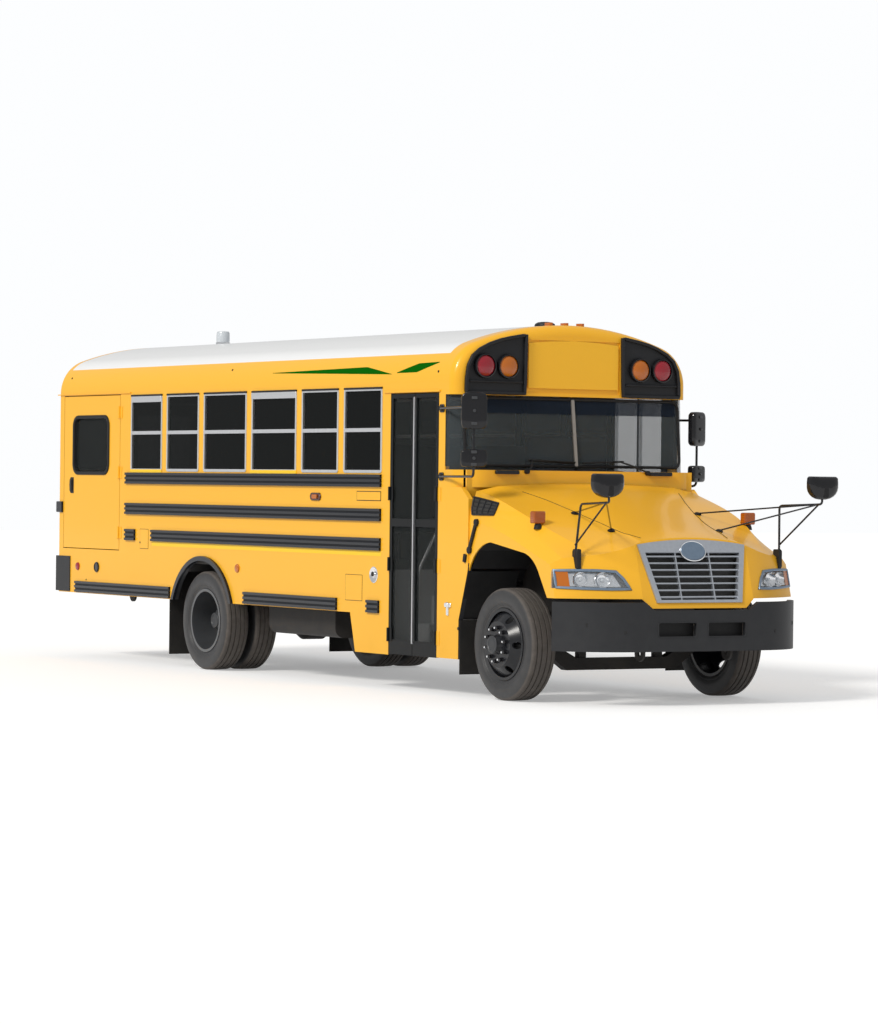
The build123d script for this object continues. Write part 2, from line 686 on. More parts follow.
with BuildPart() as rub_rails:
    for side, top_z, rear_setback, front_setback in rub_runs:
        with BuildSketch(cross_plane(front_axle_x - rear_setback)):
            with Locations((side * (half_width + rub_base / 2), top_z - rub_height / 2)):
                Rectangle(rub_base, rub_height)
            for i in range(rub_rib_count):
                rib_z = top_z - rub_rib_height / 2 - i * (rub_rib_height + rub_valley)
                with Locations((side * (half_width + (rub_base + rub_rib) / 2), rib_z)):
                    Rectangle(rub_base + rub_rib, rub_rib_height)
        extrude(amount=rear_setback - front_setback)
rub_rails.part.label = "rub_rails"
export_step(rub_rails.part, "parts/rub_rails.step")

# Rubber arch rings round the rear wheel openings
arch_band = 30
arch_outset = 28
arch_skin = 0.3
with BuildPart() as arch_rings:
    for side in (-1, 1):
        with BuildSketch(side_plane(side * (half_width + arch_skin))):
            with Locations((rear_axle_x, arch_centre_z)):
                Circle(arch_radius + arch_band)
                Circle(arch_radius - arch_band / 2, mode=Mode.SUBTRACT)
            with Locations((rear_axle_x, skirt_z - 2 * arch_radius)):
                Rectangle(4 * arch_radius, 4 * arch_radius, mode=Mode.SUBTRACT)
        extrude(amount=-side * arch_outset)
arch_rings.part.label = "arch_rings"
export_step(arch_rings.part, "parts/arch_rings.step")

# Hood: lofted sections from the cowl to the nose, cut by the leaning nose and hollowed.
# Columns: setback share of the hood's length, side top z, shoulder foot (y share, z),
# shoulder (y share, z), crease (y share, z), middle z. Heights are named shares of the hood's height.
hood_rear_z = 1838
hood_length = hood_seam_setback + nose_foot_reach
hood_height = hood_rear_z - nose_foot_z
hood_section_shares = [(0.0, 0.68, 0.985, 0.80, 0.945, 0.93, 0.76, 0.975, 1.0),
                       (0.30, 0.59, 0.965, 0.70, 0.91, 0.80, 0.52, 0.845, 0.88),
                       (0.56, 0.45, 0.93, 0.555, 0.86, 0.635, 0.42, 0.70, 0.735),
                       (0.77, 0.33, 0.93, 0.40, 0.76, 0.485, 0.40, 0.60, 0.635),
                       (1.0, 0.22, 0.93, 0.28, 0.72, 0.36, 0.43, 0.485, 0.515)]


def hood_section(shares, inset, bottom_z):
    """Cross-section of the hood: sides, fender tops, shoulders, creases and the crowned middle."""
    station, side_top, foot_y, foot_z, shoulder_y, shoulder_z, crease_y, crease_z, middle = shares
    half = hood_half_width - inset
    base = nose_foot_z - inset
    side_point = (half, base + side_top * hood_height)
    foot = (half * foot_y, base + foot_z * hood_height)
    shoulder = (half * shoulder_y, base + shoulder_z * hood_height)
    crease = (half * crease_y, base + crease_z * hood_height)
    right = [(half, bottom_z), side_point, foot, shoulder, crease]
    with BuildLine() as outline:
        Polyline(*right)
        ThreePointArc(crease, (0, base + middle * hood_height), (-crease[0], crease[1]))
        Polyline(*[(-y, z) for y, z in reversed(right)])
        Line((-half, bottom_z), (half, bottom_z))
    make_face(outline.edges())


def nose_outline(front_x, half):
    """Plan of the nose: flat in the middle, swept back round both headlamps."""
    swept_x = front_x - nose_sweep
    middle = (front_x - nose_sweep * nose_bow_share, (nose_flat_half + half) / 2)
    with BuildLine() as outline:
        Line((front_x, -nose_flat_half), (front_x, nose_flat_half))
        ThreePointArc((front_x, nose_flat_half), middle, (swept_x, half))
        Polyline((swept_x, half), (swept_x - overrun, half + overrun), (seam_x - overrun, half + overrun),
                 (seam_x - overrun, -half - overrun), (swept_x - overrun, -half - overrun), (swept_x, -half))
        ThreePointArc((swept_x, -half), (middle[0], -middle[1]), (front_x, -nose_flat_half))
    make_face(outline.edges())


def hood_form(inset):
    """The hood's solid form, inset from its skin by this much: lofted body cut by the leaning nose."""
    with BuildPart() as form:
        for shares in hood_section_shares:
            with BuildSketch(cross_plane(seam_x + shares[0] * hood_length)):
                hood_section(shares, inset, nose_foot_z - overrun)
        loft()
        for z in (nose_foot_z - overrun, hood_rear_z + overrun):
            with BuildSketch(Plane.XY.offset(z)):
                front_x = front_axle_x + nose_foot_reach - inset * nose_inset_share - nose_lean * (z - nose_foot_z)
                nose_outline(front_x, hood_half_width - inset)
        loft(ruled=True, mode=Mode.INTERSECT)
    return form.part


nose_bow_share = 0.36
nose_inset_share = 1.05
nose_angle = atan2(nose_lean, 1)
grille_plane = Plane(origin=(front_axle_x + nose_foot_reach, 0, nose_foot_z), x_dir=(0, 1, 0),
                     z_dir=(cos(nose_angle), 0, sin(nose_angle)))
chin_top_half = 566
chin_foot_half = 474
grille_foot_z = 859
grille_foot_half = 431
grille_head_z = 1339
grille_head_half = 544
grille_crown_z = 1380
grille_frame_depth = 46
grille_proud = 14
grille_gap = 0.3


def up_slope(z):
    """Distance up the leaning nose for this height."""
    return (z - nose_foot_z) / cos(nose_angle)


def grille_outline(margin):
    """Outline of the grille on the nose: narrower at the foot, with a crowned top."""
    foot_half, head_half = grille_foot_half + margin, grille_head_half + margin
    foot, head, crown = up_slope(grille_foot_z) - margin, up_slope(grille_head_z), up_slope(grille_crown_z) + margin
    with BuildLine() as outline:
        Polyline((-head_half, head), (-foot_half, foot), (foot_half, foot), (head_half, head))
        ThreePointArc((head_half, head), (0, crown), (-head_half, head))
    make_face(outline.edges())


headlight_table = [(635, 963), (738, 1126), (1230, 1134), (1230, 977)]
headlight_front_reach = 779
arch_front_foot_reach = 722
arch_seam_z = 1085
arch_rear_shoulder = (-398, 1248)
arch_top_rear = (-170, 1335)
arch_top_front = (365, 1256)
arch_front_shoulder = (500, 1194)
arch_front_side = (585, 1103)

hood_shell = hood_form(0) - hood_form(hood_wall)
with BuildPart() as hood:
    add(hood_shell)
    with BuildSketch(cross_plane(seam_x - overrun)):
        with BuildLine():
            Polyline((-hood_half_width - overrun, hood_lower_z), (-chin_top_half, hood_lower_z),
                     (-chin_foot_half, nose_foot_z), (chin_foot_half, nose_foot_z), (chin_top_half, hood_lower_z),
                     (hood_half_width + overrun, hood_lower_z), (hood_half_width + overrun, nose_foot_z - 2 * overrun),
                     (-hood_half_width - overrun, nose_foot_z - 2 * overrun), close=True)
        make_face()
    extrude(amount=hood_length + 2 * overrun, mode=Mode.SUBTRACT)
    with BuildSketch(side_plane(hood_half_width + overrun)):
        with BuildLine():
            seam_point = (seam_x - overrun, arch_seam_z)
            arch = [(front_axle_x + x, z) for x, z in (arch_rear_shoulder, arch_top_rear, arch_top_front,
                                                      arch_front_shoulder, arch_front_side)]
            Line(seam_point, (seam_x, arch_seam_z))
            ThreePointArc((seam_x, arch_seam_z), arch[0], arch[1])
            Line(arch[1], arch[2])
            ThreePointArc(arch[2], arch[3], arch[4])
            Polyline(arch[4], (front_axle_x + arch_front_foot_reach, hood_lower_z),
                     (front_axle_x + arch_front_foot_reach, hood_lower_z - overrun),
                     (seam_x - overrun, hood_lower_z - overrun), seam_point)
        make_face()
    extrude(amount=2 * (hood_half_width + overrun), mode=Mode.SUBTRACT)
    with BuildSketch(grille_plane.offset(-overrun / 2)):
        grille_outline(grille_gap)
    extrude(amount=overrun, mode=Mode.SUBTRACT)
    for side in (-1, 1):
        with BuildSketch(cross_plane(front_axle_x + headlight_front_reach)):
            with BuildLine():
                Polyline(*[(side * y, z) for y, z in headlight_table], close=True)
            make_face()
        extrude(amount=overrun + overrun, mode=Mode.SUBTRACT)
hood.part.label = "hood"
export_step(hood.part, "parts/hood.step")

# Headlamps: blocks that follow the nose's curve, set in its openings
headlight_proud = 3
headlight_depth = 34
headlight_edge = 0.3
with BuildPart() as headlights:
    add(hood_form(-headlight_proud) - hood_form(headlight_depth))
    with BuildSketch(cross_plane(front_axle_x + headlight_front_reach + headlight_edge)):
        for side in (-1, 1):
            with BuildLine():
                Polyline(*[(side * y, z) for y, z in headlight_table], close=True)
            make_face()
        offset(amount=-headlight_edge, kind=Kind.INTERSECTION)
    extrude(amount=2 * overrun, mode=Mode.INTERSECT)
headlights.part.label = "headlights"
export_step(headlights.part, "parts/headlights.step")

# Grille: silver surround, seven bars across and two upright
grille_inner_head_z = 1272
grille_inner_head_half = 478
grille_inner_foot_z = 882
grille_inner_foot_half = 386
grille_bar_count = 7
grille_bar_height = 12
grille_bar_depth = 26
grille_upright_y = 170
with BuildPart() as grille:
    with BuildSketch(grille_plane.offset(grille_proud)):
        grille_outline(0)
        with BuildLine():
            Polyline((-grille_inner_head_half, up_slope(grille_inner_head_z)),
                     (-grille_inner_foot_half, up_slope(grille_inner_foot_z)),
                     (grille_inner_foot_half, up_slope(grille_inner_foot_z)),
                     (grille_inner_head_half, up_slope(grille_inner_head_z)), close=True)
        make_face(mode=Mode.SUBTRACT)
    extrude(amount=-grille_frame_depth)
    with BuildSketch(grille_plane.offset(0)):
        rise = up_slope(grille_inner_head_z) - up_slope(grille_inner_foot_z)
        for i in range(grille_bar_count):
            share = (i + 0.5) / grille_bar_count
            bar_half = grille_inner_foot_half + share * (grille_inner_head_half - grille_inner_foot_half)
            with Locations((0, up_slope(grille_inner_foot_z) + share * rise)):
                Rectangle(2 * bar_half + grille_bar_height, grille_bar_height)
        for y in (-grille_upright_y, grille_upright_y):
            with Locations((y, up_slope(grille_inner_foot_z) + rise / 2)):
                Rectangle(grille_bar_height, rise + grille_bar_height)
    extrude(amount=-grille_bar_depth)
grille.part.label = "grille"
export_step(grille.part, "parts/grille.step")

# Engine, one plain block between the rails, and the radiator behind the grille
engine_rear_setback = 480
engine_front_reach = 640
engine_half = 340
engine_bottom_z = 640
engine_top_z = 1330
with BuildPart() as engine:
    with BuildSketch(cross_plane(front_axle_x - engine_rear_setback)):
        with Locations((0, (engine_bottom_z + engine_top_z) / 2)):
            Rectangle(2 * engine_half, engine_top_z - engine_bottom_z)
    extrude(amount=engine_rear_setback + engine_front_reach)
    # Mounting feet reach the rails' webs
    with BuildSketch(cross_plane(front_axle_x)):
        with Locations((0, (rail_bottom_z + rail_top_z) / 2)):
            Rectangle(2 * (rail_half - rail_metal), rail_flange)
    extrude(amount=rail_flange)
engine.part.label = "engine"
export_step(engine.part, "parts/engine.step")

radiator_reach = 800
radiator_depth = 90
radiator_half = 495
radiator_top_z = 1310
with BuildPart() as radiator:
    with BuildSketch(cross_plane(front_axle_x + radiator_reach)):
        with Locations((0, (rail_top_z + radiator_top_z) / 2)):
            Rectangle(2 * radiator_half, radiator_top_z - rail_top_z)
    extrude(amount=radiator_depth)
radiator.part.label = "radiator"
export_step(radiator.part, "parts/radiator.step")

# Gearbox and propeller shaft down to the rear axle
gearbox_radius = 190
gearbox_length = 620
gearbox_z = 790
shaft_radius = 48
diff_radius = 195
axle_tube_radius = 76
shaft_front_z = 735
shaft_end_gap = 3.2
shaft_start = Vector(front_axle_x - engine_rear_setback - gearbox_length, 0, shaft_front_z)
shaft_end = Vector(rear_axle_x + diff_radius + shaft_end_gap, 0, tyre_radius)
shaft_run = shaft_end - shaft_start
with BuildPart() as driveline:
    with BuildSketch(cross_plane(front_axle_x - engine_rear_setback)):
        with Locations((0, gearbox_z)):
            Circle(gearbox_radius)
    with BuildSketch(cross_plane(front_axle_x - engine_rear_setback - gearbox_length)):
        with Locations((0, shaft_front_z)):
            Circle(shaft_radius * 2)
    loft(ruled=True)
    with BuildSketch(Plane(origin=shaft_start, z_dir=shaft_run)):
        Circle(shaft_radius)
    extrude(amount=shaft_run.length)
driveline.part.label = "driveline"
export_step(driveline.part, "parts/driveline.step")

# Front axle: a dropped beam with a vertical boss at each end for the kingpin
beam_width = 90
beam_low_z = 250
beam_high_z = 352
beam_drop_half = 560
beam_end_half = 800
boss_radius = 42
boss_height = 110
with BuildPart() as front_axle:
    with BuildSketch(cross_plane(front_axle_x - beam_width / 2)):
        with BuildLine():
            rise_z = tyre_radius - boss_height / 2
            left = [(0, beam_low_z), (beam_drop_half, beam_low_z), (beam_end_half, rise_z), (kingpin_y, rise_z),
                    (kingpin_y, rise_z + boss_height), (beam_end_half, rise_z + boss_height),
                    (beam_drop_half - (beam_high_z - beam_low_z), beam_high_z), (0, beam_high_z)]
            Polyline(*left)
            Polyline(*[(-y, z) for y, z in left])
        make_face()
    extrude(amount=beam_width)
    with BuildSketch(Plane.XY.offset(tyre_radius - boss_height / 2 - overrun)):
        for side in (-1, 1):
            with Locations((front_axle_x, side * (kingpin_y + overrun / 2))):
                Rectangle(overrun, overrun)
    extrude(amount=2 * overrun, mode=Mode.SUBTRACT)
    with BuildSketch(Plane.XY.offset(tyre_radius - boss_height / 2)):
        for side in (-1, 1):
            with Locations((front_axle_x, side * kingpin_y)):
                Circle(boss_radius)
    extrude(amount=boss_height)
front_axle.part.label = "front_axle"
export_step(front_axle.part, "parts/front_axle.step")

# Steering knuckles: a yoke over the boss and the spindle that carries the wheel
yoke_radius = 40
yoke_height = 34
yoke_gap = 0.4
yoke_plate = 26
yoke_reach = 52
yoke_half_width = 46
spindle_radius = 34
hub_bore_gap = 0.3
spindle_reach = 60
spindle_end_y = front_half_track + spindle_reach
knuckles = {}
for side, side_name in ((-1, "right"), (1, "left")):
    with BuildPart() as knuckle:
        low_z = tyre_radius - boss_height / 2 - yoke_gap - yoke_height
        high_z = tyre_radius + boss_height / 2 + yoke_gap
        for z in (low_z, high_z):
            with BuildSketch(Plane.XY.offset(z)):
                with Locations((front_axle_x, side * kingpin_y)):
                    Circle(yoke_radius)
                with Locations((front_axle_x, side * (kingpin_y + yoke_reach / 2))):
                    Rectangle(2 * yoke_radius, yoke_reach)
            extrude(amount=yoke_height)
        with BuildSketch(side_plane(side * (kingpin_y + yoke_reach))):
            with Locations((front_axle_x, tyre_radius)):
                Rectangle(2 * yoke_half_width, high_z + yoke_height - low_z)
        extrude(amount=-side * yoke_plate)
        with BuildSketch(side_plane(side * (kingpin_y + yoke_reach))):
            with Locations((front_axle_x, tyre_radius)):
                Circle(spindle_radius)
        extrude(amount=-side * (spindle_end_y - kingpin_y - yoke_reach))
    knuckle.part.label = "knuckle_" + side_name
    export_step(knuckle.part, f"parts/knuckle_{side_name}.step")

# Wheels: tyres and rims are revolved about the axle line. Columns: radius, distance along the axle.
tyre_shoulder = 34
tyre_shoulder_drop = 22
tyre_edge_share = 0.25
bead_half = 96
sidewall_radius = 400
rim_wall = 12
rim_lip = 14
rim_half = 112
disc_thickness = 14
disc_root_thickness = 22
hub_radius = 86


def axle_profile(axle_x, points):
    """Revolve a closed outline of (radius, y) points about the axle line at this x."""
    with BuildSketch(Plane(origin=(axle_x, 0, tyre_radius), x_dir=(0, 0, 1), z_dir=(-1, 0, 0))) as profile:
        with BuildLine() as outline:
            Polyline(*points, close=True)
        make_face(outline.edges())
    revolve(profile.sketch, axis=Axis((axle_x, 0, tyre_radius), (0, 1, 0)))


def hand_holes(axle_x, start_y, end_y):
    """Cut a ring of round holes through a wheel disc, between these two distances along the axle."""
    with BuildSketch(Plane(origin=(axle_x, start_y, tyre_radius), x_dir=(1, 0, 0), z_dir=(0, 1, 0))) as ring:
        with PolarLocations(hand_hole_circle, hand_hole_count):
            Circle(hand_hole_radius)
    extrude(ring.sketch, amount=end_y - start_y, mode=Mode.SUBTRACT)


def tyre_points(centre_y):
    """Outline of a tyre: tread, shoulders, sidewalls that bulge, and the beads on the rim."""
    half = tyre_width / 2
    outer = [(tyre_radius, half - tyre_shoulder), (tyre_radius - tyre_shoulder_drop, half - tyre_edge_share * tyre_shoulder),
             (sidewall_radius, half), (rim_radius, bead_half)]
    return [(r, centre_y + y) for r, y in outer] + [(r, centre_y - y) for r, y in reversed(outer)]


wheel_bore = spindle_radius + hub_bore_gap
barrel = rim_radius - seat_gap
lip_radius = rim_radius + rim_lip
well_radius = rim_radius - rim_wall
rim_flange_width = 10.5
lip_inner = rim_half - rim_flange_width
disc_start = 62
disc_shoulder_radius = 196
disc_shoulder = 156
hand_hole_radius = 30
hand_hole_count = 6
hand_hole_circle = (disc_shoulder_radius + well_radius) / 2
hub_back = -50
hub_cap_radius = 58
front_hub_nose = 226
cap_clearance = 1
front_rim_points = [(lip_radius, rim_half), (lip_radius, lip_inner), (barrel, lip_inner), (barrel, -lip_inner),
                    (lip_radius, -lip_inner), (lip_radius, -rim_half), (well_radius, -rim_half),
                    (well_radius, disc_start), (disc_shoulder_radius, disc_shoulder), (hub_radius, disc_shoulder),
                    (hub_radius, hub_back), (wheel_bore, hub_back), (wheel_bore, spindle_reach + cap_clearance),
                    (0, spindle_reach + cap_clearance), (0, front_hub_nose), (hub_cap_radius, front_hub_nose),
                    (hub_radius, disc_shoulder + disc_thickness),
                    (disc_shoulder_radius, disc_shoulder + disc_thickness),
                    (well_radius, disc_start + disc_root_thickness), (well_radius, rim_half)]
dual_inner_y = rear_outer_y - dual_spacing
dual_middle_y = (rear_outer_y + dual_inner_y) / 2
rear_spindle_end = 1000
rear_hub_back = 862
rear_hub_nose = 1082
rear_hub_shoulder = 1040
rear_hub_radius = 104
outer_lips = (rear_outer_y - rim_half, rear_outer_y - lip_inner, rear_outer_y + lip_inner, rear_outer_y + rim_half)
inner_lips = (dual_inner_y - rim_half, dual_inner_y - lip_inner, dual_inner_y + lip_inner, dual_inner_y + rim_half)
rear_rim_points = [(lip_radius, outer_lips[3]), (lip_radius, outer_lips[2]), (barrel, outer_lips[2]),
                   (barrel, outer_lips[1]), (lip_radius, outer_lips[1]), (lip_radius, outer_lips[0]),
                   (barrel, outer_lips[0]), (barrel, inner_lips[3]), (lip_radius, inner_lips[3]),
                   (lip_radius, inner_lips[2]), (barrel, inner_lips[2]), (barrel, inner_lips[1]),
                   (lip_radius, inner_lips[1]), (lip_radius, inner_lips[0]), (well_radius, inner_lips[0]),
                   (well_radius, dual_middle_y - disc_thickness), (rear_hub_radius, dual_middle_y - disc_thickness),
                   (rear_hub_radius, rear_hub_back), (wheel_bore, rear_hub_back),
                   (wheel_bore, rear_spindle_end + cap_clearance), (0, rear_spindle_end + cap_clearance),
                   (0, rear_hub_nose), (hub_cap_radius, rear_hub_nose), (rear_hub_radius, rear_hub_shoulder),
                   (rear_hub_radius, dual_middle_y + disc_thickness), (well_radius, dual_middle_y + disc_thickness),
                   (well_radius, outer_lips[3])]
for side, side_name in ((-1, "right"), (1, "left")):
    with BuildPart() as tyre:
        axle_profile(front_axle_x, [(r, side * y) for r, y in tyre_points(front_half_track)])
    tyre.part.label = "tyre_front_" + side_name
    export_step(tyre.part, f"parts/tyre_front_{side_name}.step")
    with BuildPart() as rim:
        axle_profile(front_axle_x, [(r, side * (front_half_track + y)) for r, y in front_rim_points])
        hand_holes(front_axle_x, side * front_half_track, side * (front_half_track + front_hub_nose))
    rim.part.label = "rim_front_" + side_name
    export_step(rim.part, f"parts/rim_front_{side_name}.step")
    with BuildPart() as tyres:
        for centre_y in (rear_outer_y, dual_inner_y):
            axle_profile(rear_axle_x, [(r, side * y) for r, y in tyre_points(centre_y)])
    tyres.part.label = "tyres_rear_" + side_name
    export_step(tyres.part, f"parts/tyres_rear_{side_name}.step")
    with BuildPart() as rims:
        axle_profile(rear_axle_x, [(r, side * y) for r, y in rear_rim_points])
        hand_holes(rear_axle_x, side * (dual_middle_y - rim_half), side * (dual_middle_y + rim_half))
    rims.part.label = "rims_rear_" + side_name
    export_step(rims.part, f"parts/rims_rear_{side_name}.step")

# Rear axle: tube, differential bowl and the two spindles
tube_end_y = 846
diff_half_length = 250
diff_flat_share = 0.4
with BuildPart() as rear_axle:
    with BuildSketch(Plane(origin=(rear_axle_x, 0, tyre_radius), x_dir=(0, 0, 1), z_dir=(-1, 0, 0))) as profile:
        with BuildLine():
            Polyline((axle_tube_radius, -diff_half_length), (axle_tube_radius, -tube_end_y),
                     (spindle_radius, -tube_end_y), (spindle_radius, -rear_spindle_end), (0, -rear_spindle_end),
                     (0, rear_spindle_end), (spindle_radius, rear_spindle_end), (spindle_radius, tube_end_y),
                     (axle_tube_radius, tube_end_y), (axle_tube_radius, diff_half_length))
            Polyline((axle_tube_radius, diff_half_length), (diff_radius, diff_half_length * diff_flat_share),
                     (diff_radius, -diff_half_length * diff_flat_share), (axle_tube_radius, -diff_half_length))
        make_face()
    revolve(axis=Axis((rear_axle_x, 0, tyre_radius), (0, 1, 0)))
rear_axle.part.label = "rear_axle"
export_step(rear_axle.part, "parts/rear_axle.step")

# Leaf springs: bowed packs with their seats and hangers.
# Columns: axle x, half span, seat z, middle z, end z, leaf thickness
spring_width = 74
spring_y = rail_half - rail_flange / 2
hanger_length = 62
front_spring_half = 640
rear_spring_half = 745
front_spring_z = 402
rear_spring_z = 596
spring_end_z = 622
front_leaf = 46
rear_leaf = 60
spring_table = [(front_axle_x, front_spring_half, beam_high_z, front_spring_z, spring_end_z, front_leaf),
                (rear_axle_x, rear_spring_half, tyre_radius + axle_tube_radius, rear_spring_z, spring_end_z, rear_leaf)]
with BuildPart() as leaf_springs:
    for axle_x, half_span, seat_z, middle_z, end_z, leaf in spring_table:
        for side in (-1, 1):
            with BuildSketch(side_plane(side * spring_y + spring_width / 2)):
                with BuildLine():
                    ThreePointArc((axle_x - half_span, end_z), (axle_x, middle_z), (axle_x + half_span, end_z))
                    Line((axle_x + half_span, end_z), (axle_x + half_span, end_z + leaf))
                    ThreePointArc((axle_x + half_span, end_z + leaf), (axle_x, middle_z + leaf),
                                  (axle_x - half_span, end_z + leaf))
                    Line((axle_x - half_span, end_z + leaf), (axle_x - half_span, end_z))
                make_face()
                for end_x in (axle_x - half_span, axle_x + half_span):
                    with Locations((end_x, (end_z + rail_bottom_z) / 2)):
                        Rectangle(hanger_length, rail_bottom_z - end_z)
                with Locations((axle_x, (seat_z + middle_z + leaf) / 2)):
                    Rectangle(hanger_length, middle_z + leaf - seat_z)
            extrude(amount=spring_width)
leaf_springs.part.label = "leaf_springs"
export_step(leaf_springs.part, "parts/leaf_springs.step")

# Fuel tank outboard of the right rail, with its two straps' brackets
tank_rear_setback = 4350
tank_front_setback = 3080
tank_bottom_z = 400
tank_top_z = 880
tank_outer_y = 1060
tank_corner = 90
with BuildPart() as fuel_tank:
    with BuildSketch(cross_plane(front_axle_x - tank_rear_setback)):
        with Locations((-(rail_half + tank_outer_y) / 2, (tank_bottom_z + tank_top_z) / 2)):
            RectangleRounded(tank_outer_y - rail_half, tank_top_z - tank_bottom_z, tank_corner)
    extrude(amount=tank_rear_setback - tank_front_setback)
fuel_tank.part.label = "fuel_tank"
export_step(fuel_tank.part, "parts/fuel_tank.step")

# Exhaust on the left: pipe from the gearbox side, silencer, and a tailpipe ahead of the rear wheel
exhaust_y = 640
exhaust_z = 640
pipe_radius = 45
silencer_radius = 125
silencer_rear_setback = 3900
silencer_front_setback = 2700
pipe_front_setback = 1300
tail_setback = 4480
exhaust_bend = 160
exhaust_hanger = 60
with BuildPart() as exhaust:
    with BuildSketch(cross_plane(front_axle_x - silencer_rear_setback)):
        with Locations((exhaust_y, exhaust_z)):
            Circle(silencer_radius)
    extrude(amount=silencer_rear_setback - silencer_front_setback)
    with BuildSketch(cross_plane(front_axle_x - silencer_front_setback)):
        with Locations((exhaust_y, exhaust_z)):
            Circle(pipe_radius)
    extrude(amount=silencer_front_setback - pipe_front_setback)
    with BuildLine() as tail_line:
        FilletPolyline((front_axle_x - silencer_rear_setback, exhaust_y, exhaust_z),
                       (front_axle_x - tail_setback, exhaust_y, exhaust_z),
                       (front_axle_x - tail_setback, half_width - wall, exhaust_z - exhaust_bend), radius=exhaust_bend)
    with BuildSketch(cross_plane(front_axle_x - silencer_rear_setback)):
        with Locations((exhaust_y, exhaust_z)):
            Circle(pipe_radius)
    sweep(path=tail_line.line)
    with BuildSketch(Plane.XY.offset(exhaust_z)):
        for setback in (silencer_front_setback + exhaust_bend, silencer_rear_setback - exhaust_bend):
            with Locations((front_axle_x - setback, (rail_half + exhaust_y) / 2)):
                Rectangle(exhaust_hanger, exhaust_y - rail_half)
    extrude(amount=rail_top_z - exhaust_z - rail_flange)
exhaust.part.label = "exhaust"
export_step(exhaust.part, "parts/exhaust.step")

# Mud flaps. Columns: rear face x, inner |y|, bottom z, top z
flap_thickness = 12
front_flap_bottom_z = 190
rear_flap_bottom_z = 116
rear_flap_behind = 788
flap_side_inset = 14
flap_outer_y = half_width - flap_side_inset
front_flap_inner_y = 940
rear_flap_inner_y = 640
flap_table = [(front_axle_x - cowl_low_front_setback, front_flap_inner_y, front_flap_bottom_z, cowl_arch_low_z),
              (rear_axle_x - rear_flap_behind, rear_flap_inner_y, rear_flap_bottom_z, floor_z - floor_thickness)]
with BuildPart() as mud_flaps:
    for flap_x, inner_y, bottom_z, top_z in flap_table:
        with BuildSketch(cross_plane(flap_x)):
            for side in (-1, 1):
                outer_y = flap_outer_y if flap_x > 0 else cabin_half - seat_gap
                with Locations((side * (inner_y + outer_y) / 2, (bottom_z + top_z) / 2)):
                    Rectangle(outer_y - inner_y, top_z - bottom_z)
        extrude(amount=flap_thickness)
mud_flaps.part.label = "mud_flaps"
export_step(mud_flaps.part, "parts/mud_flaps.step")

# Passenger seats: high-backed benches in rows on both sides of the aisle, and the driver's seat
bench_width = 980
seat_pitch = 740
seat_depth = 400
cushion_bottom_z = 330
cushion_top_z = 450
back_top_z = 1130
back_thickness = 95
back_rake = 70
bench_leg = 40
seat_first_setback = 2330
seat_rows_left = 8
seat_rows_right = 5
driver_seat_setback = 1830
driver_seat_width = 520
driver_seat_y = 640
driver_seat_lift = 90


def bench(front_x, centre_y, width, lift):
    """One seat: a cushion, a raked back and two leg panels down to the floor."""
    base_z = floor_z + lift
    with BuildSketch(side_plane(centre_y + width / 2)) as profile:
        with BuildLine():
            Polyline((front_x, base_z + cushion_bottom_z), (front_x, base_z + cushion_top_z),
                     (front_x - seat_depth, base_z + cushion_top_z),
                     (front_x - seat_depth - back_rake, base_z + back_top_z),
                     (front_x - seat_depth - back_rake - back_thickness, base_z + back_top_z),
                     (front_x - seat_depth - back_thickness, base_z + cushion_bottom_z), close=True)
        make_face()
    extrude(profile.sketch, amount=width)
    with BuildSketch(Plane.XY.offset(floor_z)) as legs:
        with Locations((front_x - seat_depth / 2, centre_y - width / 2 + bench_leg),
                       (front_x - seat_depth / 2, centre_y + width / 2 - bench_leg)):
            Rectangle(seat_depth, bench_leg)
    extrude(legs.sketch, amount=base_z + cushion_bottom_z - floor_z)


bench_y = cabin_half - bench_width / 2 - seat_gap
with BuildPart() as passenger_seats:
    for side, rows in ((1, seat_rows_left), (-1, seat_rows_right)):
        for i in range(rows):
            bench(front_axle_x - seat_first_setback - seat_pitch * i, side * bench_y, bench_width, 0)
passenger_seats.part.label = "passenger_seats"
export_step(passenger_seats.part, "parts/passenger_seats.step")

with BuildPart() as driver_seat:
    bench(front_axle_x - driver_seat_setback + seat_depth / 2, driver_seat_y, driver_seat_width, driver_seat_lift)
driver_seat.part.label = "driver_seat"
export_step(driver_seat.part, "parts/driver_seat.step")

# Dashboard across the cowl, and the steering column with its wheel
dash_depth = 260
dash_slope_share = 0.33
dash_top_z = 1880
dash_bottom_z = 1480
dash_right_y = -480
column_y = driver_seat_y
column_rake = 40
column_length = 300
column_radius = 32
column_foot_z = 1600
wheel_ring_radius = 225
wheel_rim_radius = 15
wheel_rim_sides = 8
spoke_width = 30
spoke_thickness = 12
column_foot = Vector(firewall_x - dash_depth + seat_gap, column_y, column_foot_z)
column_way = Vector(-cos(radians(column_rake)), 0, sin(radians(column_rake)))
column_plane = Plane(origin=column_foot, z_dir=column_way)
with BuildPart() as dashboard:
    with BuildSketch(side_plane(cabin_half)):
        with BuildLine():
            Polyline((firewall_x, dash_bottom_z), (firewall_x, dash_top_z), (firewall_x - dash_depth / 2, dash_top_z),
                     (firewall_x - dash_depth, dash_top_z - dash_depth / 2),
                     (firewall_x - dash_depth, dash_bottom_z + dash_slope_share * dash_depth), close=True)
        make_face()
    extrude(amount=cabin_half - dash_right_y)
    with BuildSketch(column_plane.offset(-column_radius)):
        Circle(column_radius)
    extrude(amount=column_length)
dashboard.part.label = "dashboard"
export_step(dashboard.part, "parts/dashboard.step")

